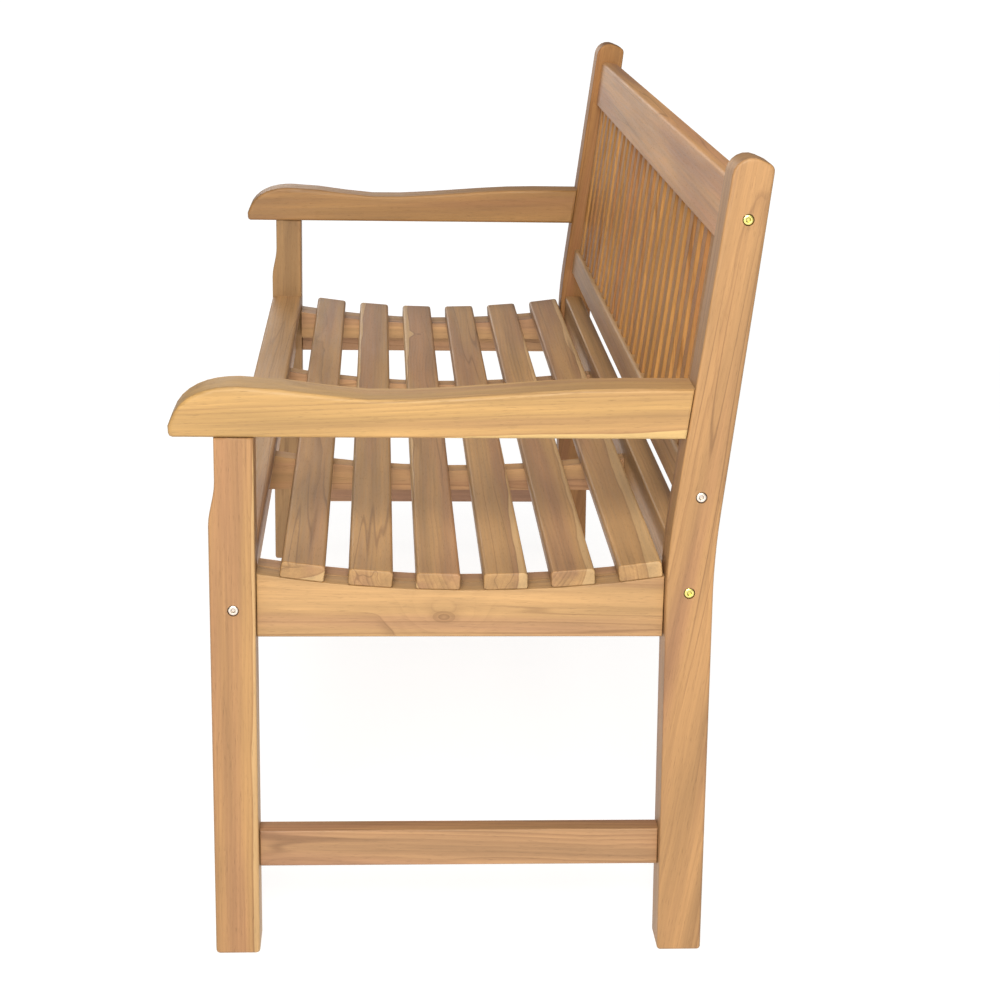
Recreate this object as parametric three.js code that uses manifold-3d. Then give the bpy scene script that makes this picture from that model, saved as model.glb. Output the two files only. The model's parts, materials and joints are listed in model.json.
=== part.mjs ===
import * as THREE from "three";
import { mergeVertices } from "three/addons/utils/BufferGeometryUtils.js";
import Module from "manifold-3d";

// A teak garden bench with an open slatted back, in millimetres, +Z up.
// +X runs along the seat towards the sitter's left, +Y from the front to the back,
// and the origin is on the ground under the middle of the bench.

// Overall
const LENGTH = 1500;
const HALF = LENGTH / 2;
const GAP = 0.3; // clearance where two pieces meet
const LEG_WIDTH = 49; // along X, front legs and back posts
const INNER_X = HALF - LEG_WIDTH; // inner faces of the legs and posts

// Front leg, side view
const LEG_FRONT_Y = -273.2;
const LEG_UPPER_FRONT_Y = -266;
const LEG_BACK_Y = -224;
const LEG_STEP_LOW_Z = 502;
const LEG_STEP_HIGH_Z = 551;
const ARM_BOTTOM_Z = 600;

// Back post, side view: upright below the seat, raked above it
const POST_TOP_Z = 899;
const POST_FOOT_FRONT_Y = 225.5;
const POST_SEAT_FRONT_Y = 219;
const POST_FOOT_BACK_Y = 275;
const POST_SEAT_BACK_Y = 270.5;
const POST_BEND_LOW_Z = 430;
const POST_BEND_HIGH_Z = 520;
const POST_FRONT_RAKE = 0.1245; // run over rise of the raked faces
const POST_BACK_RAKE = 0.1055;
const POST_CORNER_RISE = 9.5; // front corner above the top, before it is rounded
const POST_TOP_FALL = 18; // the top slopes down to the back by this much
const POST_TOP_FRONT_R = 21;
const POST_TOP_BACK_R = 9;

// Arm
const ARM_WIDTH = 56;
const ARM_NOSE_Y = -313.5;
const ARM_CREST_Y = -240;
const ARM_CREST_Z = 655;
const ARM_DIP_Y = -90;
const ARM_DIP_Z = 641.5;
const ARM_BACK_CREST_Y = 170;
const ARM_BACK_CREST_Z = 655.2;
const ARM_NOSE_POWER = 2.3; // superellipse exponent of the nose
const ARM_NOSE_SWEEP = (75 * Math.PI) / 180;
const ARM_NOSE_FLAT = 12; // height of the upright part of the nose
const ARM_EDGE_R = 4;

// Side rails, stretchers and the rails along the length
const SIDE_RAIL_OUTER_X = 738;
const SIDE_RAIL_THICK = 28.8;
const RAIL_BOTTOM_Z = 374;
const STRETCHER_THICK = 26;
const STRETCHER_LOW_Z = 101.5;
const STRETCHER_HIGH_Z = 145;
const FRONT_RAIL_Y = [-262, -234];
const FRONT_RAIL_TOP_Z = 451;
const BACK_SEAT_RAIL_Y = [226.5, 254.5];
const BACK_SEAT_RAIL_TOP_Z = 473;

// Seat slats on a dished seat
const SLAT_WIDTH = 48;
const SLAT_THICK = 18.5;
const SLAT_PITCH = 73.6;
const FIRST_SLAT_Y = -175;
const SLAT_COUNT = 6;
const SLAT_END_X = 738.5;
const DISH_Y = 6; // lowest line of the seat
const DISH_Z = 427.8; // underside of a slat there
const DISH_RADIUS = 1450;
const FRONT_SLAT_THICK = 18.5;
const SLAT_LIFT = 0.35; // clearance under the middle of a slat

// Battens under the slats
const BATTEN_THICK = 28;
const BATTEN_BOTTOM_Z = 402;
const MID_BATTEN_X = 241;

// Plane of the back: its front face passes BACK_Y at BACK_Z and leans back
const BACK_Y = 241.3;
const BACK_Z = 555;
const BACK_LEAN = Math.atan(0.118);
const BACK_RAIL_THICK = 29;
const LOWER_RAIL_HEIGHT = 41;
const BACK_OPENING = 245.4; // between the lower back rail and the top rail
const TOP_RAIL_HEIGHT = 71.5;

// Upright slats of the back, evenly spaced between the posts
const BACK_SLAT_COUNT = 25;
const BACK_SLAT_WIDTH = 27;
const BACK_SLAT_PITCH = (2 * INNER_X + BACK_SLAT_WIDTH) / (BACK_SLAT_COUNT + 1);
const BACK_SLAT_FRONT = 5.5; // depth behind the front face of the rails
const BACK_SLAT_THICK = 13;
const BACK_SLAT_TENON = 8;

// Bolts
const BOLT_HEAD_R = 5.8;
const BOLT_HEAD_THICK = 4;
const BOLT_SHANK_R = 3.25;
const BOLT_END_X = 645;
const SOCKET_R = 2.2;
const SOCKET_DEPTH = 2.2;
const BOLT_INSET = 0.2; // the heads sit this far below the end faces
const SHANK_CLEARANCE = 0.35;
const HEAD_CLEARANCE = 0.5;

// Tenons: heights and depths of the tongues, and how deep each enters its mortise
const TENON_ROOT = 4; // overlap of a tongue with its own piece
const LEG_TENON_Y = [-257, -234];
const LEG_TENON_ROOT = 12;
const LEG_TENON_LENGTH = 18;
const LEG_TENON_HALF = 12;
const ARM_TENON_Z = [612, 638];
const ARM_TENON_ROOT = 8;
const ARM_TENON_LENGTH = 20;
const ARM_TENON_HALF = 9;
const SIDE_RAIL_TENON_Z = [388, 420];
const STRETCHER_TENON_Z = [111, 136];
const SIDE_TENON_LENGTH = 13;
const SIDE_TENON_HALF = 5.5;
const END_TENON_LENGTH = 12;
const FRONT_RAIL_TENON = { y: [-254, -242], z: [386, 438] };
const BACK_SEAT_RAIL_TENON = { y: [234.5, 246.5], z: [390, 462] };
const LEANING_TENON_HALF = 6;
const LOWER_RAIL_TENON = [-34, -8];
const TOP_RAIL_TENON = [BACK_OPENING + 8, BACK_OPENING + 52];
const BATTEN_TENON_Z = [407, 423];
const BATTEN_TENON_LENGTH = 8;
const BATTEN_TENON_HALF = 6;
const LEG_MIDDLE_X = HALF - LEG_WIDTH / 2;

const wasm = await Module();
wasm.setup();

const teak = new THREE.MeshStandardMaterial({ color: 0xc98f5a, roughness: 0.62, metalness: 0 });
const brass = new THREE.MeshStandardMaterial({ color: 0xd9c65a, roughness: 0.3, metalness: 1 });
const steel = new THREE.MeshStandardMaterial({ color: 0xd8cdbf, roughness: 0.3, metalness: 1 });

// ---- solids and meshes ----

function solid(geometry) {
  const bare = geometry.clone();
  bare.deleteAttribute("normal");
  bare.deleteAttribute("uv");
  const merged = mergeVertices(bare, 1e-4);
  const vertProperties = new Float32Array(merged.attributes.position.array);
  const triVerts = new Uint32Array(merged.index.array);
  return new wasm.Manifold(new wasm.Mesh({ numProp: 3, vertProperties, triVerts }));
}

function geometryOf(body) {
  const mesh = body.getMesh();
  const geometry = new THREE.BufferGeometry();
  geometry.setAttribute("position", new THREE.BufferAttribute(mesh.vertProperties, 3));
  geometry.setIndex(new THREE.BufferAttribute(mesh.triVerts, 1));
  const flat = geometry.toNonIndexed();
  flat.computeVertexNormals();
  return flat;
}

function box(x, y, z) {
  const geometry = new THREE.BoxGeometry(x[1] - x[0], y[1] - y[0], z[1] - z[0]);
  geometry.translate((x[0] + x[1]) / 2, (y[0] + y[1]) / 2, (z[0] + z[1]) / 2);
  return solid(geometry);
}

function grown(range, by = GAP) {
  return [range[0] - by, range[1] + by];
}

function mirrored(body) {
  const geometry = geometryOf(body).scale(-1, 1, 1);
  const p = geometry.attributes.position;
  for (let i = 0; i < p.count; i += 3) {
    const [x, y, z] = [p.getX(i + 1), p.getY(i + 1), p.getZ(i + 1)];
    p.setXYZ(i + 1, p.getX(i + 2), p.getY(i + 2), p.getZ(i + 2));
    p.setXYZ(i + 2, x, y, z);
  }
  return solid(geometry);
}

// Outline with its corners rounded; each corner is [u, v, radius].
function roundedOutline(corners, segments = 2) {
  const points = [];
  corners.forEach(([u, v, radius = 0], i) => {
    const corner = new THREE.Vector2(u, v);
    if (!radius) {
      points.push(corner);
      return;
    }
    const before = corners.at(i - 1);
    const after = corners[(i + 1) % corners.length];
    const a = new THREE.Vector2(before[0], before[1]).sub(corner).normalize();
    const b = new THREE.Vector2(after[0], after[1]).sub(corner).normalize();
    const half = Math.acos(a.dot(b)) / 2;
    const from = corner.clone().addScaledVector(a, radius / Math.tan(half));
    const to = corner.clone().addScaledVector(b, radius / Math.tan(half));
    const toCentre = a.clone().add(b).normalize();
    const centre = corner.clone().addScaledVector(toCentre, radius / Math.sin(half));
    const start = from.sub(centre).angle();
    let sweep = to.sub(centre).angle() - start;
    if (sweep > Math.PI) sweep -= 2 * Math.PI;
    if (sweep < -Math.PI) sweep += 2 * Math.PI;
    for (let k = 0; k <= segments; k++) {
      const turn = start + (sweep * k) / segments;
      points.push(new THREE.Vector2(Math.cos(turn), Math.sin(turn)).multiplyScalar(radius).add(centre));
    }
  });
  return points;
}

// Extrudes an outline along the local z axis from `from` to `to`, its end edges rounded.
function extruded(outline, from, to, edge, segments = 2) {
  const depth = to - from - 2 * edge;
  const settings = {
    depth,
    bevelEnabled: edge > 0,
    bevelThickness: edge,
    bevelSize: edge,
    bevelOffset: -edge,
    bevelSegments: segments,
    curveSegments: 1,
  };
  const geometry = new THREE.ExtrudeGeometry(new THREE.Shape(outline), settings);
  return geometry.translate(0, 0, from + edge);
}

// A side-view outline in (y, z) made into a board that spans x0 to x1.
function alongX(outline, x0, x1, edge, segments = 2) {
  const turn = new THREE.Matrix4().makeBasis(
    new THREE.Vector3(0, 1, 0),
    new THREE.Vector3(0, 0, 1),
    new THREE.Vector3(1, 0, 0),
  );
  return solid(extruded(outline, x0, x1, edge, segments).applyMatrix4(turn));
}

function boardOutline(y, z, radius) {
  return roundedOutline([
    [y[0], z[0], radius],
    [y[1], z[0], radius],
    [y[1], z[1], radius],
    [y[0], z[1], radius],
  ]);
}

// ---- curves of the end frames and the seat ----

function smooth(t) {
  const s = Math.min(1, Math.max(0, t));
  return s * s * (3 - 2 * s);
}

function blend(from, to, t) {
  return from + (to - from) * smooth(t);
}

function steps(from, to, count) {
  return Array.from({ length: count + 1 }, (_, i) => from + ((to - from) * i) / count);
}

function legFrontY(z) {
  const t = (z - LEG_STEP_LOW_Z) / (LEG_STEP_HIGH_Z - LEG_STEP_LOW_Z);
  return blend(LEG_FRONT_Y, LEG_UPPER_FRONT_Y, t);
}

// Face of the back post: straight to the bend, an even curve through it, then straight.
function postFace(z, footY, seatY, rake) {
  if (z < POST_BEND_LOW_Z) return footY + ((seatY - footY) * z) / POST_BEND_LOW_Z;
  const bend = POST_BEND_HIGH_Z - POST_BEND_LOW_Z;
  const rise = Math.min(z, POST_BEND_HIGH_Z) - POST_BEND_LOW_Z;
  const curve = (rake * rise * rise) / (2 * bend);
  return seatY + curve + rake * Math.max(0, z - POST_BEND_HIGH_Z);
}

function postFrontY(z) {
  return postFace(z, POST_FOOT_FRONT_Y, POST_SEAT_FRONT_Y, POST_FRONT_RAKE);
}

function postBackY(z) {
  return postFace(z, POST_FOOT_BACK_Y, POST_SEAT_BACK_Y, POST_BACK_RAKE);
}

function armTopZ(y) {
  if (y < ARM_CREST_Y) {
    const u = (ARM_CREST_Y - y) / (ARM_CREST_Y - ARM_NOSE_Y);
    const rise = (1 - Math.min(1, u) ** ARM_NOSE_POWER) ** (1 / ARM_NOSE_POWER);
    return ARM_BOTTOM_Z + (ARM_CREST_Z - ARM_BOTTOM_Z) * rise;
  }
  if (y < ARM_DIP_Y) return blend(ARM_CREST_Z, ARM_DIP_Z, (y - ARM_CREST_Y) / (ARM_DIP_Y - ARM_CREST_Y));
  return blend(ARM_DIP_Z, ARM_BACK_CREST_Z, (y - ARM_DIP_Y) / (ARM_BACK_CREST_Y - ARM_DIP_Y));
}

// Underside of the slats, the hollow line of the seat.
function dishZ(y) {
  return DISH_Z + DISH_RADIUS - Math.sqrt(DISH_RADIUS ** 2 - (y - DISH_Y) ** 2);
}

function dishSlope(y) {
  return Math.asin((y - DISH_Y) / DISH_RADIUS);
}

// ---- frame of the leaning back ----

function backTurn() {
  const up = new THREE.Vector3(0, Math.sin(BACK_LEAN), Math.cos(BACK_LEAN));
  const forward = new THREE.Vector3(0, -Math.cos(BACK_LEAN), Math.sin(BACK_LEAN));
  const turn = new THREE.Matrix4().makeBasis(new THREE.Vector3(1, 0, 0), up, forward);
  return turn.setPosition(0, BACK_Y, BACK_Z);
}

// Box in the plane of the back: x range, height range up the lean, depth range behind the front face.
function backBox(x, up, deep) {
  const geometry = new THREE.BoxGeometry(x[1] - x[0], up[1] - up[0], deep[1] - deep[0]);
  geometry.translate((x[0] + x[1]) / 2, (up[0] + up[1]) / 2, -(deep[0] + deep[1]) / 2);
  return solid(geometry.applyMatrix4(backTurn()));
}

// Flat piece of the back: an outline in (x, up) with thickness into the back.
function backPlate(corners, front, thick, edge) {
  const outline = corners.map(([x, up]) => new THREE.Vector2(x, up));
  const geometry = extruded(outline, -front - thick, -front, edge, 1);
  return solid(geometry.applyMatrix4(backTurn()));
}

// Section of a leaning rail; each corner is [depth, up, radius].
function leaningSection(corners, segments) {
  const turned = corners.map(([deep, up, radius]) => {
    const point = new THREE.Vector3(0, up, -deep).applyMatrix4(backTurn());
    return [point.y, point.z, radius];
  });
  return roundedOutline(turned, segments);
}

// X range of an upright slat; the gaps beside the posts equal those between the slats.
function backSlatX(index) {
  const x0 = -INNER_X - BACK_SLAT_WIDTH + BACK_SLAT_PITCH * (index + 1);
  return [x0, x0 + BACK_SLAT_WIDTH];
}

// ---- end frames, made for the +X end and mirrored for the other ----

function frontLegBlank() {
  const stepped = steps(LEG_STEP_HIGH_Z, LEG_STEP_LOW_Z, 6).map((z) => [legFrontY(z), z]);
  const corners = [
    [LEG_FRONT_Y, 0, 4],
    [LEG_BACK_Y, 0, 4],
    [LEG_BACK_Y, ARM_BOTTOM_Z - GAP],
    [LEG_UPPER_FRONT_Y, ARM_BOTTOM_Z - GAP],
    ...stepped,
  ];
  const leg = alongX(roundedOutline(corners), INNER_X, HALF, 2.5);
  return leg.add(legTenon(0));
}

function legTenon(by) {
  const wide = [LEG_MIDDLE_X - LEG_TENON_HALF, LEG_MIDDLE_X + LEG_TENON_HALF];
  const tall = [ARM_BOTTOM_Z - LEG_TENON_ROOT, ARM_BOTTOM_Z + LEG_TENON_LENGTH + 2 * by];
  return box(grown(wide, by), grown(LEG_TENON_Y, by), tall);
}

function backPostBlank() {
  const heights = steps(POST_BEND_LOW_Z, POST_BEND_HIGH_Z, 5);
  const up = heights.map((z) => [postBackY(z), z]);
  const down = heights.toReversed().map((z) => [postFrontY(z), z]);
  const frontTop = POST_TOP_Z + POST_CORNER_RISE;
  const backTop = frontTop - POST_TOP_FALL;
  const corners = [
    [POST_FOOT_FRONT_Y, 0, 4],
    [POST_FOOT_BACK_Y, 0, 4],
    ...up,
    [postBackY(backTop), backTop, POST_TOP_BACK_R],
    [postFrontY(frontTop), frontTop, POST_TOP_FRONT_R],
    ...down,
  ];
  return alongX(roundedOutline(corners, 6), INNER_X, HALF, 2.5);
}

function armBlank() {
  const backY = (z) => postFrontY(z) - GAP;
  const topEnd = backY(ARM_BACK_CREST_Z);
  const hollow = steps(ARM_BACK_CREST_Y, ARM_CREST_Y, 9).slice(0, -1);
  const reach = ARM_CREST_Y - ARM_NOSE_Y;
  const nose = steps(0, ARM_NOSE_SWEEP, 8).map((turn) => ARM_CREST_Y - reach * Math.sin(turn));
  const corners = [
    [ARM_NOSE_Y + 0.7, ARM_BOTTOM_Z, 4.5],
    [backY(ARM_BOTTOM_Z), ARM_BOTTOM_Z],
    [topEnd, ARM_BACK_CREST_Z],
    ...[...hollow, ...nose].map((y) => [y, armTopZ(y)]),
    [ARM_NOSE_Y, ARM_BOTTOM_Z + ARM_NOSE_FLAT],
  ];
  const arm = alongX(roundedOutline(corners), HALF - ARM_WIDTH, HALF, ARM_EDGE_R, 2);
  return arm.add(armTenon(0));
}

function armTenon(by) {
  const wide = [LEG_MIDDLE_X - ARM_TENON_HALF, LEG_MIDDLE_X + ARM_TENON_HALF];
  const face = postFrontY(ARM_BOTTOM_Z);
  const deep = [face - ARM_TENON_ROOT, face + ARM_TENON_LENGTH + 2 * by];
  return box(grown(wide, by), deep, grown(ARM_TENON_Z, by));
}

function sideRail() {
  const front = LEG_BACK_Y + GAP;
  const back = POST_SEAT_FRONT_Y - GAP;
  const dish = steps(back, front, 8).map((y) => [y, dishZ(y) - GAP]);
  const corners = [[front, RAIL_BOTTOM_Z], [back, RAIL_BOTTOM_Z], ...dish];
  const inner = SIDE_RAIL_OUTER_X - SIDE_RAIL_THICK;
  const rail = alongX(roundedOutline(corners), inner, SIDE_RAIL_OUTER_X, 1.5, 1);
  return rail.add(sideTenon(1, SIDE_RAIL_TENON_Z, 0)).add(sideTenon(-1, SIDE_RAIL_TENON_Z, 0));
}

// Tenon of a side rail or stretcher: side 1 enters the back post, -1 the front leg.
function sideTenon(side, tall, by) {
  const middle = SIDE_RAIL_OUTER_X - SIDE_RAIL_THICK / 2;
  const wide = grown([middle - SIDE_TENON_HALF, middle + SIDE_TENON_HALF], by);
  const face = side > 0 ? postFrontY(tall[0]) : LEG_BACK_Y;
  const ends = [face - side * TENON_ROOT, face + side * (SIDE_TENON_LENGTH + 2 * by)];
  return box(wide, [Math.min(...ends), Math.max(...ends)], grown(tall, by));
}

function stretcher() {
  const tall = [STRETCHER_LOW_Z, STRETCHER_HIGH_Z];
  const back = (z) => postFrontY(z) - GAP;
  const corners = [
    [LEG_BACK_Y + GAP, tall[0]],
    [back(tall[0]), tall[0]],
    [back(tall[1]), tall[1]],
    [LEG_BACK_Y + GAP, tall[1]],
  ];
  const inner = SIDE_RAIL_OUTER_X - STRETCHER_THICK;
  const rail = alongX(roundedOutline(corners), inner, SIDE_RAIL_OUTER_X, 2, 1);
  return rail.add(sideTenon(1, STRETCHER_TENON_Z, 0)).add(sideTenon(-1, STRETCHER_TENON_Z, 0));
}

// ---- rails along the length ----

function endTenon({ y, z }, by) {
  return box([INNER_X - TENON_ROOT, INNER_X + END_TENON_LENGTH + 2 * by], grown(y, by), grown(z, by));
}

function leaningTenon(up, by) {
  const middle = BACK_RAIL_THICK / 2;
  const deep = [middle - LEANING_TENON_HALF, middle + LEANING_TENON_HALF];
  const long = [INNER_X - TENON_ROOT, INNER_X + END_TENON_LENGTH + 2 * by];
  return backBox(long, grown(up, by), grown(deep, by));
}

function withEndTenons(rail, tenon) {
  return rail.add(tenon).add(mirrored(tenon));
}

function straightRail(y, z, tenon) {
  const rail = alongX(boardOutline(y, z, 3), -INNER_X + GAP, INNER_X - GAP, 0);
  return withEndTenons(rail, endTenon(tenon, 0));
}

function lowerBackRail() {
  const thick = BACK_RAIL_THICK;
  const section = leaningSection(
    [
      [0, 0, 4],
      [0, -LOWER_RAIL_HEIGHT, 3],
      [thick, -LOWER_RAIL_HEIGHT, 3],
      [thick, 0, 4],
    ],
    2,
  );
  const rail = alongX(section, -INNER_X + GAP, INNER_X - GAP, 0);
  return withEndTenons(rail, leaningTenon(LOWER_RAIL_TENON, 0));
}

function topRail() {
  const thick = BACK_RAIL_THICK;
  const low = BACK_OPENING;
  const high = BACK_OPENING + TOP_RAIL_HEIGHT;
  const section = leaningSection(
    [
      [0, high, 5],
      [0, low, 3],
      [thick, low, 3],
      [thick, high, 8],
    ],
    4,
  );
  const rail = alongX(section, -INNER_X + GAP, INNER_X - GAP, 0);
  return withEndTenons(rail, leaningTenon(TOP_RAIL_TENON, 0));
}

// ---- seat ----

function batten(x, y) {
  const dish = steps(y[1], y[0], 8).map((v) => [v, dishZ(v) - GAP]);
  const corners = [[y[0], BATTEN_BOTTOM_Z], [y[1], BATTEN_BOTTOM_Z], ...dish];
  return alongX(roundedOutline(corners), x[0], x[1], 0);
}

function midBatten(side) {
  const x = [side * MID_BATTEN_X - BATTEN_THICK / 2, side * MID_BATTEN_X + BATTEN_THICK / 2];
  const body = batten(x, [FRONT_RAIL_Y[1] + GAP, BACK_SEAT_RAIL_Y[0] - GAP]);
  return body.add(battenTenon(side, 1, 0)).add(battenTenon(side, -1, 0));
}

// Stub tenon of a middle batten into the back (end 1) or front (end -1) seat rail.
function battenTenon(side, end, by) {
  const face = end > 0 ? BACK_SEAT_RAIL_Y[0] : FRONT_RAIL_Y[1];
  const ends = [face - end * TENON_ROOT, face + end * (BATTEN_TENON_LENGTH + 2 * by)];
  const x = side * MID_BATTEN_X;
  const wide = grown([x - BATTEN_TENON_HALF, x + BATTEN_TENON_HALF], by);
  return box(wide, [Math.min(...ends), Math.max(...ends)], grown(BATTEN_TENON_Z, by));
}

function endBatten() {
  const outer = SIDE_RAIL_OUTER_X - SIDE_RAIL_THICK - GAP;
  return batten([outer - BATTEN_THICK, outer], [LEG_BACK_Y + GAP, POST_SEAT_FRONT_Y - GAP]);
}

function seatSlat(index) {
  const y = FIRST_SLAT_Y + SLAT_PITCH * index;
  const half = SLAT_WIDTH / 2;
  const outline = roundedOutline([
    [-half, 0, 2.5],
    [half, 0, 2.5],
    [half, SLAT_THICK, 4],
    [-half, SLAT_THICK, 4],
  ]);
  const slope = dishSlope(y);
  const lift = dishZ(y) + SLAT_LIFT;
  const placed = outline.map((p) => {
    const turned = p.clone().rotateAround(new THREE.Vector2(0, 0), slope);
    return turned.add(new THREE.Vector2(y, lift));
  });
  return alongX(placed, -SLAT_END_X, SLAT_END_X, 1.2, 1);
}

function frontSlat() {
  const low = FRONT_RAIL_TOP_Z + GAP;
  const outline = roundedOutline([
    [LEG_FRONT_Y, low, 3],
    [LEG_BACK_Y, low, 3],
    [LEG_BACK_Y, low + FRONT_SLAT_THICK, 5],
    [LEG_FRONT_Y, low + FRONT_SLAT_THICK, 5],
  ]);
  return alongX(outline, -INNER_X + GAP, INNER_X - GAP, 0);
}

// ---- upright slats of the back ----

const backSlatIndices = Array.from({ length: BACK_SLAT_COUNT }, (_, i) => i);

function backSlat(index) {
  const [x0, x1] = backSlatX(index);
  const low = -BACK_SLAT_TENON;
  const high = BACK_OPENING + BACK_SLAT_TENON;
  const corners = [
    [x0, low],
    [x1, low],
    [x1, high],
    [x0, high],
  ];
  return backPlate(corners, BACK_SLAT_FRONT, BACK_SLAT_THICK, 0.8);
}

function cutSlatMortises(rail, up) {
  const deep = grown([BACK_SLAT_FRONT, BACK_SLAT_FRONT + BACK_SLAT_THICK]);
  const mortises = backSlatIndices.map((index) => backBox(grown(backSlatX(index)), up, deep));
  return mortises.reduce((body, mortise) => body.subtract(mortise), rail);
}

// ---- bolts ----

const boltPlaces = [
  { name: "front_rail", y: -248, z: 408, metal: steel },
  { name: "back_seat_rail", y: 244.5, z: 428, metal: brass },
  { name: "lower_back_rail", y: 253, z: 536, metal: steel },
  { name: "top_rail", y: 288.5, z: 835, metal: brass },
];

function rodAlongX(y, z, radius, from, to, segments = 20) {
  const geometry = new THREE.CylinderGeometry(radius, radius, to - from, segments);
  geometry.rotateZ(-Math.PI / 2).translate((from + to) / 2, y, z);
  return solid(geometry);
}

function bolt({ y, z }) {
  const face = HALF - BOLT_INSET;
  const rim = 0.7;
  const profile = [
    [0, BOLT_END_X],
    [BOLT_SHANK_R, BOLT_END_X],
    [BOLT_SHANK_R, face - BOLT_HEAD_THICK],
    [BOLT_HEAD_R, face - BOLT_HEAD_THICK],
    [BOLT_HEAD_R, face - rim],
    [BOLT_HEAD_R - rim, face],
    [0, face],
  ].map(([r, x]) => new THREE.Vector2(r, x));
  const turned = new THREE.LatheGeometry(profile, 20);
  turned.rotateZ(-Math.PI / 2).translate(0, y, z);
  const socket = rodAlongX(y, z, SOCKET_R, face - SOCKET_DEPTH, face + 2, 6);
  return solid(turned).subtract(socket);
}

function boltHole({ y, z }) {
  const shank = rodAlongX(y, z, BOLT_SHANK_R + SHANK_CLEARANCE, BOLT_END_X - 2, HALF + 1);
  const seat = HALF - BOLT_INSET - BOLT_HEAD_THICK - GAP;
  return shank.add(rodAlongX(y, z, BOLT_HEAD_R + HEAD_CLEARANCE, seat, HALF + 1));
}

function cutBolts(body, names) {
  const holes = boltPlaces.filter((place) => names.includes(place.name)).map(boltHole);
  return holes.reduce((rest, hole) => rest.subtract(hole), body);
}

function cutBothEnds(body, cutter) {
  return body.subtract(cutter).subtract(mirrored(cutter));
}

// ---- finished bodies ----

function frontLeg() {
  return cutBolts(frontLegBlank(), ["front_rail"])
    .subtract(sideTenon(-1, SIDE_RAIL_TENON_Z, GAP))
    .subtract(sideTenon(-1, STRETCHER_TENON_Z, GAP))
    .subtract(endTenon(FRONT_RAIL_TENON, GAP));
}

function backPost() {
  const bolted = ["back_seat_rail", "lower_back_rail", "top_rail"];
  return cutBolts(backPostBlank(), bolted)
    .subtract(sideTenon(1, SIDE_RAIL_TENON_Z, GAP))
    .subtract(sideTenon(1, STRETCHER_TENON_Z, GAP))
    .subtract(endTenon(BACK_SEAT_RAIL_TENON, GAP))
    .subtract(leaningTenon(LOWER_RAIL_TENON, GAP))
    .subtract(leaningTenon(TOP_RAIL_TENON, GAP))
    .subtract(armTenon(GAP));
}

function drilled(rail, name) {
  const hole = boltHole(boltPlaces.find((place) => place.name === name));
  return cutBothEnds(rail, hole);
}

function finishedFrontRail() {
  const z = [RAIL_BOTTOM_Z, FRONT_RAIL_TOP_Z];
  const rail = straightRail(FRONT_RAIL_Y, z, FRONT_RAIL_TENON);
  return cutBothEnds(drilled(rail, "front_rail"), battenTenon(1, -1, GAP));
}

function finishedBackSeatRail() {
  const z = [RAIL_BOTTOM_Z, BACK_SEAT_RAIL_TOP_Z];
  const rail = straightRail(BACK_SEAT_RAIL_Y, z, BACK_SEAT_RAIL_TENON);
  return cutBothEnds(drilled(rail, "back_seat_rail"), battenTenon(1, 1, GAP));
}

function finishedLowerBackRail() {
  const rail = drilled(lowerBackRail(), "lower_back_rail");
  return cutSlatMortises(rail, [-BACK_SLAT_TENON - 1, 5]);
}

function finishedTopRail() {
  const rail = drilled(topRail(), "top_rail");
  return cutSlatMortises(rail, [BACK_OPENING - 5, BACK_OPENING + BACK_SLAT_TENON + 1]);
}

// ---- assembly ----

const bench = new THREE.Group();
bench.name = "garden_bench";

function place(name, body, material = teak) {
  const mesh = new THREE.Mesh(geometryOf(body), material);
  mesh.name = name;
  bench.add(mesh);
}

function placePair(name, body, material) {
  place(`${name}_left`, body, material);
  place(`${name}_right`, mirrored(body), material);
}

placePair("front_leg", frontLeg());
placePair("back_post", backPost());
placePair("arm", armBlank().subtract(legTenon(GAP)));
placePair("side_rail", sideRail());
placePair("stretcher", stretcher());

place("front_seat_rail", finishedFrontRail());
place("back_seat_rail", finishedBackSeatRail());
place("lower_back_rail", finishedLowerBackRail());
place("top_rail", finishedTopRail());

placePair("seat_batten_end", endBatten());
placePair("seat_batten_middle", midBatten(1));

place("seat_slat_front", frontSlat());
for (let i = 0; i < SLAT_COUNT; i++) place(`seat_slat_${i + 1}`, seatSlat(i));

backSlatIndices.forEach((i) => place(`back_slat_${i + 1}`, backSlat(i)));

boltPlaces.forEach((spot) => placePair(`bolt_${spot.name}`, bolt(spot), spot.metal));

export default bench;
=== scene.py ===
import json
import math
import random

import bmesh
import bpy
from mathutils import Matrix, Vector


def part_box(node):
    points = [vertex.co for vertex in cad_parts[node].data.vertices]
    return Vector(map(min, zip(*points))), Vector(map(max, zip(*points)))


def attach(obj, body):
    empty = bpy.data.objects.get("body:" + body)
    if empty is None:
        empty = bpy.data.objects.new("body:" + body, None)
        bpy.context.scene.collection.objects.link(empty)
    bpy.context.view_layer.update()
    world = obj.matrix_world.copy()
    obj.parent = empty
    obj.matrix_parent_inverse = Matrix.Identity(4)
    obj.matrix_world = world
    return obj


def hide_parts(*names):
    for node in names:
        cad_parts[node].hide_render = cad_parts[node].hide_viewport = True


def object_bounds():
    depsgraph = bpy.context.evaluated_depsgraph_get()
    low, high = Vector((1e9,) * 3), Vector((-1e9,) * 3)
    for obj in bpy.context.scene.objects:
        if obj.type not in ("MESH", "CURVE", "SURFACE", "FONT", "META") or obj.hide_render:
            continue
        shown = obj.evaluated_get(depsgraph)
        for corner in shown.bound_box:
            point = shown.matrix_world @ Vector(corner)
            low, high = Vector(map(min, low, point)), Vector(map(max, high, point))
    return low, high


# The looks of a teak garden bench: grain, sapwood and knots in the wood, finished edges,
# turned bolts, a pale studio floor and soft light. Metres, +Z up.

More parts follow.
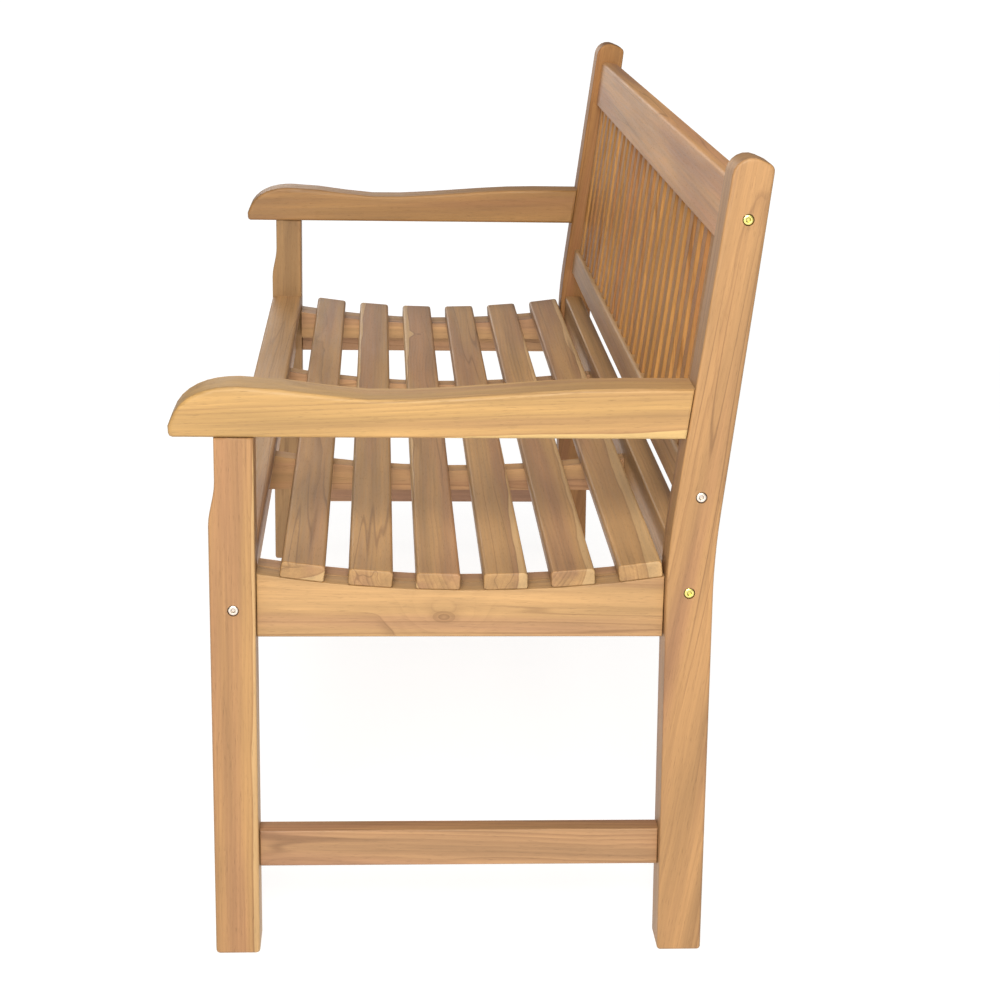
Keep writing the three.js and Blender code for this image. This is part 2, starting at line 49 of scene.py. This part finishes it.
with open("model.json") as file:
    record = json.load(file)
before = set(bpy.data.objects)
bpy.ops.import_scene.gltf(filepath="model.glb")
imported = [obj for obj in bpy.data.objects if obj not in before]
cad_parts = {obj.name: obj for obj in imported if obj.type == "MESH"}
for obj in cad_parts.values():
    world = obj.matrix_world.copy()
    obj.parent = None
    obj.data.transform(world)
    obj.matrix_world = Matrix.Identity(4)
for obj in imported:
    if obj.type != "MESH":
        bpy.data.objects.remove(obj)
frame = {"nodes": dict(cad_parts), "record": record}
cad_low, cad_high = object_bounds()
nodes = frame["nodes"]

# Camera
CAMERA_PLACE = Vector((2.97284, -0.09262, 1.18368))
CAMERA_YAW = 0.058188
CAMERA_PITCH = 0.284273
CAMERA_ROLL = 0.019093
CAMERA_LENS_MM = 78.405
SENSOR_MM = 36.0

# Wood, as linear colours
HEARTWOOD = (0.430, 0.245, 0.104)
HEARTWOOD_RED = (0.345, 0.180, 0.092)
HEARTWOOD_DARK = (0.170, 0.080, 0.032)
SAPWOOD = (0.505, 0.322, 0.158)
RING_SPACING = 0.0046
GRAIN_BUMP = {"Strength": 0.35, "Distance": 0.0004}

# Grain of each kind of piece: the slope of its fibres to its own axis, along the first
# and the second direction across it, and how strongly its growth rings show.
GRAIN = {
    "front_leg": ((0.010, -0.010), 0.60),
    "back_post": ((0.012, -0.150), 0.65),
    "arm": ((0.010, -0.030), 0.60),
    "side_rail": ((0.010, 0.012), 0.70),
    "stretcher": ((0.012, 0.030), 0.80),
    "seat_slat": ((0.006, 0.004), 0.55),
    "rail": ((0.005, 0.004), 0.50),
}
PLAIN_GRAIN = ((0.010, 0.012), 0.60)

# Tint of each piece or kind of piece over the common wood colour; the first match counts. Besides each
# piece's own tone, the tints hold painted light: the far pieces (right arm, right back post, right front leg)
# are darker as painted shade where the key light falls off, the front legs and the stretcher are partly
# darker as painted shade, and the top rail is brighter and greyer as a painted sheen.
TINT_AND_PAINTED_LIGHT = {
    "arm_left": (1.01, 1.04, 0.87),
    # Painted shade: the far pieces are darkened for the key light's falloff at the far end.
    "arm_right": (0.84, 0.76, 0.56),
    "back_post_right": (0.80, 0.67, 0.53),
    "front_leg_right": (0.80, 0.79, 0.76),
    "back_post": (0.895, 0.84, 0.80),
    "front_leg": (0.93, 0.89, 0.81),
    "side_rail": (1.02, 1.04, 1.04),
    # Painted shade in the stretcher's darker tint; painted sheen in the top rail's brighter tint.
    "stretcher": (0.92, 0.89, 1.00),
    "top_rail": (1.26, 1.15, 1.04),
    "back_slat": (0.97, 0.84, 0.62),
    "seat_slat_front": (1.05, 1.04, 1.05),
    "seat_slat": (0.985, 0.972, 0.925),
}
PLAIN_TINT = (1.0, 1.0, 1.0)

# How strongly a piece reflects; the upright slats of the back are the dullest.
SPECULAR = {"back_slat": 0.12, "back_post_right": 0.25, "arm_right": 0.60}
PLAIN_SPECULAR = 0.5

# Sapwood: the bark's direction, in degrees from the first direction across the piece
# towards the second, and how far from the piece's centre the sapwood begins.
BARK = {
    "arm_left": (-84, 0.0325),
    "front_leg_left": (88, 0.0240),
    "seat_slat_1": (-80, 0.0045),
    "seat_slat_2": (195, 0.0165),
    "seat_slat_3": (200, 0.0180),
    "seat_slat_4": (-15, 0.0190),
    "seat_slat_5": (-28, 0.0125),
    "seat_slat_6": (8, 0.0120),
}

# Knots: place within the piece as shares of its box, and radius.
KNOTS = {
    "side_rail_left": ((1.0, 0.46, 0.32), 0.011),
    "back_post_left": ((1.0, 0.86, 0.40), 0.006),
    "seat_slat_3": ((0.16, 0.5, 1.0), 0.006),
}


# ---- node trees ----


class Tree:
    """Small helper that adds nodes to a node tree and returns their output sockets."""

    def __init__(self, tree):
        self.tree = tree

    def add(self, kind, inputs=(), output=0, **settings):
        node = self.tree.nodes.new(kind)
        for name, value in settings.items():
            setattr(node, name, value)
        for key, value in dict(inputs).items():
            self.set(node.inputs[key], value)
        return node.outputs[output]

    def set(self, socket, value):
        if isinstance(value, bpy.types.NodeSocket):
            self.tree.links.new(value, socket)
        else:
            socket.default_value = value

    def math(self, operation, *values):
        return self.add("ShaderNodeMath", dict(enumerate(values)), operation=operation)

    def vector(self, operation, *values, output=0):
        return self.add("ShaderNodeVectorMath", dict(enumerate(values)), output, operation=operation)

    def times(self, first, *others):
        for other in others:
            first = self.math("MULTIPLY", first, other)
        return first

    def noise(self, place, along, across, detail=2.0):
        stretched = self.vector("MULTIPLY", place, (along, across, across))
        inputs = {"Vector": stretched, "Scale": 1.0, "Detail": detail}
        return self.add("ShaderNodeTexNoise", inputs, "Fac", noise_dimensions="3D")

    def sway(self, place, along, across, size):
        """Noise about zero, `size` metres from its lowest to its highest."""
        centred = self.math("SUBTRACT", self.noise(place, along, across), 0.5)
        return self.math("MULTIPLY", centred, size)

    def span(self, value, low, high, to_low=0.0, to_high=1.0, smooth=False):
        kind = "SMOOTHSTEP" if smooth else "LINEAR"
        inputs = {0: value, 1: low, 2: high, 3: to_low, 4: to_high}
        return self.add("ShaderNodeMapRange", inputs, interpolation_type=kind, clamp=True)

    def mix(self, factor, first, second):
        node = self.tree.nodes.new("ShaderNodeMix")
        node.data_type = "RGBA"
        self.set(node.inputs["Factor"], factor)
        self.set(node.inputs[6], first)
        self.set(node.inputs[7], second)
        return node.outputs[2]


def opaque(colour):
    return (*colour, 1.0)


def new_material(name):
    material = bpy.data.materials.new(name)
    material.use_nodes = True
    return material, Tree(material.node_tree), material.node_tree.nodes["Principled BSDF"]


# ---- teak ----

GRAIN_INPUTS = {
    "Place": "NodeSocketVector",
    "Pith": "NodeSocketVector",
    "Sapwood Radius": "NodeSocketFloat",
    "Seed": "NodeSocketFloat",
    "Rings": "NodeSocketFloat",
    "Tint": "NodeSocketVector",
    "Knot Place": "NodeSocketVector",
    "Knot Radius": "NodeSocketFloat",
    "End Grain": "NodeSocketFloat",
}
GRAIN_OUTPUTS = {
    "Color": "NodeSocketColor",
    "Height": "NodeSocketFloat",
    "Rough": "NodeSocketFloat",
}


def knot_ratio(t, given):
    """Distance from the knot, in knot radii; it is longer along the fibres than across."""
    away = t.vector("SUBTRACT", given["Place"], given["Knot Place"])
    away = t.vector("MULTIPLY", away, (0.55, 1.0, 1.0))
    far = t.vector("LENGTH", away, output="Value")
    return t.math("DIVIDE", far, t.math("MAXIMUM", given["Knot Radius"], 0.00001))


def ring_radius(t, given, place, knot):
    """Distance from the pith, wavering along the fibres and pushed aside by the knot."""
    from_pith = t.vector("SUBTRACT", given["Place"], given["Pith"])
    across = t.vector("MULTIPLY", from_pith, (0.0, 1.0, 1.0))
    radius = t.vector("LENGTH", across, output="Value")
    for along, thick, size in [(2.6, 12.0, 0.018), (14.0, 60.0, 0.0022)]:
        radius = t.math("ADD", radius, t.sway(place, along, thick, size))
    swell = t.span(knot, 0.4, 4.0, 1.0, 0.0, smooth=True)
    return t.math("ADD", radius, t.times(swell, given["Knot Radius"], 1.5))


def growth_rings(t, given, place, radius):
    """Strength of the dark rings, each with a sharp start; some years show far more."""
    ring = t.math("FRACT", t.math("DIVIDE", radius, RING_SPACING))
    start = t.span(ring, 0.0, 0.16, 1.0, 0.0, smooth=True)
    end = t.span(ring, 0.35, 1.0, 0.0, 0.6, smooth=True)
    year_place = t.add("ShaderNodeCombineXYZ", {0: t.times(radius, 150.0), 1: given["Seed"]})
    year = t.add("ShaderNodeTexNoise", {"Vector": year_place, "Scale": 1.0, "Detail": 1.0}, "Fac")
    strong = t.span(year, 0.38, 0.68, 0.10, 1.0)
    patchy = t.span(t.noise(place, 4.0, 30.0, 1.0), 0.35, 0.62, 0.25, 1.0)
    return t.times(t.math("MAXIMUM", start, end), strong, patchy, given["Rings"])


def dark_lines(t, place):
    """A few thin dark lines that follow the fibres, where a slow noise crosses its middle."""
    slow = t.noise(place, 1.1, 46.0, 1.0)
    off = t.math("ABSOLUTE", t.math("SUBTRACT", slow, 0.5))
    line = t.span(off, 0.0, 0.020, 1.0, 0.0, smooth=True)
    here = t.span(t.noise(place, 1.8, 16.0, 1.0), 0.50, 0.62)
    return t.math("MULTIPLY", line, here)


def shine_and_streaks(t, place, pore):
    """Brightness along the fibres: broad patches, streaks, fine fibres and open pores."""
    light = t.span(t.noise(place, 1.6, 70.0, 3.0), 0.3, 0.7, 0.84, 1.14)
    patch = t.span(t.noise(place, 3.5, 18.0, 2.0), 0.3, 0.7, 0.90, 1.09)
    fibre = t.span(t.noise(place, 12.0, 520.0, 2.0), 0.3, 0.7, 0.93, 1.07)
    return t.times(light, patch, fibre, t.span(pore, 0.0, 1.0, 1.0, 0.78))


def grain_group():
    """Solid teak: x runs along the fibres, y and z across them, rings round the pith."""
    group = bpy.data.node_groups.new("teak_grain", "ShaderNodeTree")
    for name, kind in GRAIN_INPUTS.items():
        group.interface.new_socket(name, in_out="INPUT", socket_type=kind)
    for name, kind in GRAIN_OUTPUTS.items():
        group.interface.new_socket(name, in_out="OUTPUT", socket_type=kind)
    t = Tree(group)
    given = group.nodes.new("NodeGroupInput").outputs
    seed = t.add("ShaderNodeCombineXYZ", {0: given["Seed"], 1: given["Seed"], 2: given["Seed"]})
    place = t.vector("ADD", given["Place"], seed)

    knot = knot_ratio(t, given)
    radius = ring_radius(t, given, place, knot)
    end = t.span(given["End Grain"], 0.6, 0.9)
    rings = t.times(growth_rings(t, given, place, radius), t.span(end, 0.0, 1.0, 1.0, 1.5))
    pore = t.span(t.noise(place, 80.0, 1500.0, 1.0), 0.62, 0.74)

    red = t.span(t.noise(place, 1.3, 26.0, 2.0), 0.42, 0.66, 0.0, 0.85, smooth=True)
    heart = t.mix(red, opaque(HEARTWOOD), opaque(HEARTWOOD_RED))
    heart = t.mix(rings, heart, opaque(HEARTWOOD_DARK))

    # Sapwood lies outside the heartwood, past a thin darker rim.
    past_heart = t.math("SUBTRACT", radius, given["Sapwood Radius"])
    past_heart = t.math("ADD", past_heart, t.sway(place, 5.0, 9.0, 0.010))
    sap = t.span(past_heart, -0.0005, 0.0006, smooth=True)
    rim = t.times(t.span(past_heart, -0.0030, 0.0, smooth=True), t.math("SUBTRACT", 1.0, sap), 0.35)
    heart = t.mix(rim, heart, opaque(HEARTWOOD_DARK))
    pale = t.mix(t.times(rings, 0.5), opaque(SAPWOOD), opaque(HEARTWOOD))
    wood = t.mix(sap, heart, pale)

    wood = t.mix(t.times(dark_lines(t, place), 0.55), wood, opaque(HEARTWOOD_DARK))
    core = t.span(knot, 0.30, 1.0, 1.0, 0.0, smooth=True)
    turns = t.math("FRACT", t.math("MULTIPLY", knot, 3.2))
    wood = t.mix(t.times(core, t.span(turns, 0.0, 1.0, 0.25, 0.75)), wood, opaque(HEARTWOOD_DARK))
    light = t.times(shine_and_streaks(t, place, pore), t.span(end, 0.0, 1.0, 1.0, 0.83))
    wood = t.add("ShaderNodeVectorMath", {0: wood, "Scale": light}, operation="SCALE")
    # The tint carries each piece's own tone and painted light: painted shade on the far pieces, legs and
    # stretcher, painted sheen on the top rail.
    wood = t.vector("MULTIPLY", wood, given["Tint"])

    fibre = t.noise(place, 12.0, 520.0)
    height = t.math("SUBTRACT", t.times(fibre, 0.5), t.times(pore, 0.6))
    height = t.math("SUBTRACT", height, t.times(rings, 0.3))
    rough = t.math("ADD", t.span(fibre, 0.3, 0.7, 0.46, 0.58), t.times(pore, 0.12))
    out = group.nodes.new("NodeGroupOutput")
    for name, value in [("Color", wood), ("Height", height), ("Rough", rough)]:
        t.set(out.inputs[name], value)
    return group


def kind_of(name, table, otherwise):
    for key, value in table.items():
        if key in name:
            return value
    return otherwise


def piece_axes(low, high):
    """The longest direction of a piece, then the two across it, as axis numbers."""
    size = high - low
    along = max(range(3), key=lambda i: size[i])
    return along, *[i for i in range(3) if i != along]


def fibre_place(t, centre, axes, slopes):
    """Place in the piece's own log: x along its fibres, y and z across them."""
    parts = t.tree.nodes.new("ShaderNodeSeparateXYZ")
    t.set(parts.inputs[0], t.add("ShaderNodeTexCoord", output="Object"))
    x, y, z = [t.math("SUBTRACT", parts.outputs[axis], centre[axis]) for axis in axes]
    y = t.math("ADD", y, t.times(x, slopes[0]))
    z = t.math("ADD", z, t.times(x, slopes[1]))
    return t.add("ShaderNodeCombineXYZ", {0: x, 1: y, 2: z})


def knot_of(name, low, high, axes, slopes):
    shares, radius = KNOTS.get(name, ((0, 0, 0), 0.0))
    centre = (low + high) / 2
    point = Vector([low[i] + shares[i] * (high[i] - low[i]) for i in range(3)]) - centre
    x, y, z = [point[axis] for axis in axes]
    return Vector((x, y + x * slopes[0], z + x * slopes[1])), radius


def teak_for(name):
    """One piece's teak: the shared grain, with this piece's own place in its log."""
    low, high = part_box(name)
    axes = piece_axes(low, high)
    draw = random.Random(name)
    slopes, ring_share = kind_of(name, GRAIN, PLAIN_GRAIN)
    angle, start = BARK.get(name, (draw.uniform(0, 360), 0.2))
    reach = draw.uniform(0.055, 0.11)
    bark = Vector((0, math.cos(math.radians(angle)), math.sin(math.radians(angle))))
    knot_place, knot_radius = knot_of(name, low, high, axes, slopes)

    material, t, shader = new_material("teak_" + name)
    grain = t.tree.nodes.new("ShaderNodeGroup")
    grain.node_tree = teak_grain
    facing = t.tree.nodes.new("ShaderNodeSeparateXYZ")
    t.set(facing.inputs[0], t.add("ShaderNodeTexCoord", output="Normal"))
    values = {
        "End Grain": t.math("ABSOLUTE", facing.outputs[axes[0]]),
        "Place": fibre_place(t, (low + high) / 2, axes, slopes),
        "Pith": -bark * reach,
        "Sapwood Radius": reach + start,
        "Seed": draw.uniform(1, 40),
        "Rings": ring_share * draw.uniform(0.8, 1.2),
        "Tint": Vector(kind_of(name, TINT_AND_PAINTED_LIGHT, PLAIN_TINT)) * draw.uniform(0.95, 1.05),
        "Knot Place": knot_place,
        "Knot Radius": knot_radius,
    }
    for key, value in values.items():
        t.set(grain.inputs[key], value)

    bump = {"Height": grain.outputs["Height"], **GRAIN_BUMP}
    shader.inputs["Specular IOR Level"].default_value = kind_of(name, SPECULAR, PLAIN_SPECULAR)
    t.set(shader.inputs["Base Color"], grain.outputs["Color"])
    t.set(shader.inputs["Roughness"], grain.outputs["Rough"])
    t.set(shader.inputs["Normal"], t.add("ShaderNodeBump", bump))
    return material


# ---- edges of the wooden pieces ----

WELD_DISTANCE = 0.000005
TRUE_CORNER = math.radians(55)
FLAT_WEIGHT = 80


def edge_group():
    """Joins split corners and shades a piece smoothly, except across true corners."""
    group = bpy.data.node_groups.new("finish_edges", "GeometryNodeTree")
    for way in ("INPUT", "OUTPUT"):
        group.interface.new_socket("Geometry", in_out=way, socket_type="NodeSocketGeometry")
    t = Tree(group)
    given = group.nodes.new("NodeGroupInput").outputs[0]
    joined = t.add("GeometryNodeMergeByDistance", {"Geometry": given, "Distance": WELD_DISTANCE})
    smooth = t.add("GeometryNodeSetShadeSmooth", {"Geometry": joined, "Shade Smooth": True})
    angle = t.add("GeometryNodeInputMeshEdgeAngle")
    corner = {0: angle, 1: TRUE_CORNER}
    sharp = t.add("FunctionNodeCompare", corner, data_type="FLOAT", operation="GREATER_THAN")
    flat = {"Geometry": smooth, "Selection": sharp, "Shade Smooth": False}
    edged = t.add("GeometryNodeSetShadeSmooth", flat, domain="EDGE")
    t.set(group.nodes.new("NodeGroupOutput").inputs[0], edged)
    return group


def finish_wood(piece):
    modifier = piece.modifiers.new("finish_edges", "NODES")
    modifier.node_group = finish_edges
    weighted = piece.modifiers.new("even_flats", "WEIGHTED_NORMAL")
    weighted.keep_sharp = True
    weighted.weight = FLAT_WEIGHT


# ---- bolts ----

BOLT_METAL = {
    "brass": ((0.88, 0.78, 0.26), 0.30),
    "steel": ((0.86, 0.76, 0.68), 0.34),
}
WEAR_SCALE = 420.0
WORN_SHARE = 0.82  # brightness of worn metal over that of bright metal
# Share of the metal's colour left where walls are near: painted shade in the socket.
SOCKET_SHADE_SHARE = 0.10
METAL_BUMP = {"Strength": 0.1, "Distance": 0.0001}
BOLT_SIDES = 48
BOLT_CORNER = math.radians(35)
END_CHAMFER = 0.0005
EASE = 0.0003  # small rounding of the head's edges
SHANK_SHARE = 0.56  # shank radius over head radius
HEAD_DEPTH = 0.0040
DOME_RISE = 0.0011
SOCKET_SHARE = 0.42  # distance across the socket's flats over the head's width
SOCKET_DEPTH = 0.0026
SOCKET_SHADE_REACH = 0.003  # walls nearer than this darken the metal's colour: painted shade in the socket


def metal(slot):
    colour, roughness = BOLT_METAL[slot]
    material, t, shader = new_material("bolt_" + slot)
    wear = t.noise(t.add("ShaderNodeTexCoord", output="Object"), WEAR_SCALE, WEAR_SCALE, 3.0)
    dark = tuple(WORN_SHARE * c for c in colour)
    painted_socket_shade = tuple(SOCKET_SHADE_SHARE * c for c in colour)
    worn = t.mix(t.span(wear, 0.35, 0.7), opaque(colour), opaque(dark))
    # Painted shade: ambient occlusion darkens the base colour where walls are near, mostly inside the socket.
    open_sky = t.add("ShaderNodeAmbientOcclusion", {"Distance": SOCKET_SHADE_REACH}, "AO")
    unshaded = t.span(open_sky, 0.25, 0.75, smooth=True)
    t.set(shader.inputs["Base Color"], t.mix(unshaded, opaque(painted_socket_shade), worn))
    t.set(shader.inputs["Roughness"], t.span(wear, 0.3, 0.7, roughness, roughness + 0.12))
    bump = {"Height": wear, **METAL_BUMP}
    t.set(shader.inputs["Normal"], t.add("ShaderNodeBump", bump))
    shader.inputs["Metallic"].default_value = 1.0
    return material


def bolt_profile(radius, length):
    """Rings from the shank's end to the socket's floor: (radius, depth below the crown, hexagonal)."""
    shank = radius * SHANK_SHARE
    socket = radius * SOCKET_SHARE
    rows = [
        (shank - END_CHAMFER, length, False),
        (shank, length - END_CHAMFER, False),
        (shank, HEAD_DEPTH + EASE, False),
        (shank + EASE, HEAD_DEPTH, False),
        (radius - EASE, HEAD_DEPTH, False),
        (radius, HEAD_DEPTH - EASE, False),
    ]
    for turn in (0.0, 0.2, 0.4, 0.6, 0.8):
        lean = turn * math.pi / 2
        rows.append((radius - 0.0016 * (1 - math.cos(lean)), DOME_RISE * (1.5 - 1.2 * math.sin(lean)), False))
    rows += [
        (socket + 0.0011, 0.0, False),
        (socket + EASE, 0.0001, True),
        (socket, 0.0004, True),
        (socket, SOCKET_DEPTH, True),
    ]
    return rows


def ring_point(radius, turn, hexagonal):
    if hexagonal:
        flat = math.pi / 3
        radius /= math.cos((turn + flat / 2) % flat - flat / 2)
    return radius * math.cos(turn), radius * math.sin(turn)


def bolt(name):
    """A turned bolt with a domed head and a six-sided socket, in its CAD node's place."""
    low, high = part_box(name)
    centre = (low + high) / 2
    side = 1 if centre.x > 0 else -1
    crown = high.x if side > 0 else low.x
    shape = bmesh.new()
    rings = []
    for radius, depth, hexagonal in bolt_profile((high.y - low.y) / 2, high.x - low.x):
        turns = [side * 2 * math.pi * k / BOLT_SIDES for k in range(BOLT_SIDES)]
        points = [ring_point(radius, turn, hexagonal) for turn in turns]
        place = [(crown - side * depth, centre.y + y, centre.z + z) for y, z in points]
        rings.append([shape.verts.new(point) for point in place])
    for below, above in zip(rings, rings[1:]):
        for k in range(BOLT_SIDES):
            after = (k + 1) % BOLT_SIDES
            shape.faces.new((below[k], below[after], above[after], above[k]))
    shape.faces.new(reversed(rings[0]))
    shape.faces.new(rings[-1])
    bmesh.ops.recalc_face_normals(shape, faces=shape.faces)
    for face in shape.faces:
        face.smooth = True
    for edge in shape.edges:
        if len(edge.link_faces) == 2 and edge.calc_face_angle() > BOLT_CORNER:
            edge.smooth = False
    mesh = bpy.data.meshes.new("turned_" + name)
    shape.to_mesh(mesh)
    shape.free()
    made = bpy.data.objects.new("turned_" + name, mesh)
    bpy.context.scene.collection.objects.link(made)
    return made


# ---- assembly ----

slot_of = {row["node"]: row["material_slot"] for row in frame["record"]["subparts"]}
metals = {slot: metal(slot) for slot in BOLT_METAL}
teak_grain = grain_group()
finish_edges = edge_group()


def dress(piece, material):
    piece.data.materials.clear()
    piece.data.materials.append(material)


for name in sorted(nodes):
    slot = slot_of[name]
    if slot in metals:
        turned = bolt(name)
        dress(turned, metals[slot])
        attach(turned, "root")
        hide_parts(name)
    else:
        dress(nodes[name], teak_for(name))
        finish_wood(nodes[name])


# ---- studio ----

SKY_STRENGTH = 0.22
LIGHT_TARGET = Vector((0.3, 0.0, 0.45))
CAMERA_CLIP_END = 60

# Lights: name, place, size, power and colour.
LIGHTS = [
    ("key", (3.4, -0.3, 2.0), 1.6, 130, (1.0, 0.965, 0.84)),
    ("top", (0.4, 0.0, 3.6), 2.6, 44, (1.0, 0.97, 0.92)),
    ("back", (-3.6, -0.6, 1.3), 1.2, 13, (1.0, 0.94, 0.88)),
]


def camera():
    forward = Vector((
        -math.cos(CAMERA_YAW) * math.cos(CAMERA_PITCH),
        math.sin(CAMERA_YAW) * math.cos(CAMERA_PITCH),
        -math.sin(CAMERA_PITCH),
    ))
    right = Vector((math.sin(CAMERA_YAW), math.cos(CAMERA_YAW), 0))
    up = right.cross(forward)
    turn = Matrix.Identity(3)
    cosine, sine = math.cos(CAMERA_ROLL), math.sin(CAMERA_ROLL)
    turn.col[0] = cosine * right + sine * up
    turn.col[1] = cosine * up - sine * right
    turn.col[2] = -forward
    data = bpy.data.cameras.new("camera")
    data.lens = CAMERA_LENS_MM
    data.sensor_width = SENSOR_MM
    data.clip_end = CAMERA_CLIP_END
    made = bpy.data.objects.new("camera", data)
    made.matrix_world = Matrix.Translation(CAMERA_PLACE) @ turn.to_4x4()
    bpy.context.scene.collection.objects.link(made)
    bpy.context.scene.camera = made


def area_light(name, place, size, power, colour):
    data = bpy.data.lights.new(name, "AREA")
    data.shape = "DISK"
    data.size = size
    data.energy = power
    data.color = colour
    made = bpy.data.objects.new(name, data)
    made.location = place
    made.rotation_euler = (LIGHT_TARGET - made.location).to_track_quat("-Z", "Y").to_euler()
    made.visible_camera = False
    bpy.context.scene.collection.objects.link(made)


FLOOR_REACH = 90.0
FLOOR_GLOW_NEAR = 0.84
FLOOR_GLOW_FAR = 1.0
FLOOR_GREY = 0.32
FLOOR_DROP = 0.0005  # just under the feet, so the two don't touch


def floor():
    """A pale floor that glows softly, a little more far from the bench, like a lit studio sweep."""
    mesh = bpy.data.meshes.new("floor")
    signs = [(-1, -1), (1, -1), (1, 1), (-1, 1)]
    mesh.from_pydata([(x * FLOOR_REACH, y * FLOOR_REACH, 0) for x, y in signs], [], [(0, 1, 2, 3)])
    made = bpy.data.objects.new("floor", mesh)
    made.location.z = cad_low.z - FLOOR_DROP
    material, t, shader = new_material("pale_floor")
    away = t.vector("LENGTH", t.add("ShaderNodeTexCoord", output="Object"), output="Value")
    glow = t.span(away, 1.5, 6.0, FLOOR_GLOW_NEAR, FLOOR_GLOW_FAR, smooth=True)
    t.set(shader.inputs["Emission Strength"], glow)
    shader.inputs["Emission Color"].default_value = (1, 1, 1, 1)
    shader.inputs["Base Color"].default_value = opaque((FLOOR_GREY,) * 3)
    shader.inputs["Roughness"].default_value = 0.9
    shader.inputs["Specular IOR Level"].default_value = 0.1
    mesh.materials.append(material)
    bpy.context.scene.collection.objects.link(made)


def studio():
    scene = bpy.context.scene
    scene.view_settings.view_transform = "Standard"
    world = bpy.data.worlds.new("studio")
    scene.world = world
    world.use_nodes = True
    sky = world.node_tree.nodes["Background"]
    sky.inputs["Color"].default_value = (1.0, 1.0, 1.0, 1)
    sky.inputs["Strength"].default_value = SKY_STRENGTH
    for light in LIGHTS:
        area_light(*light)


camera()
floor()
studio()

bpy.context.view_layer.update()
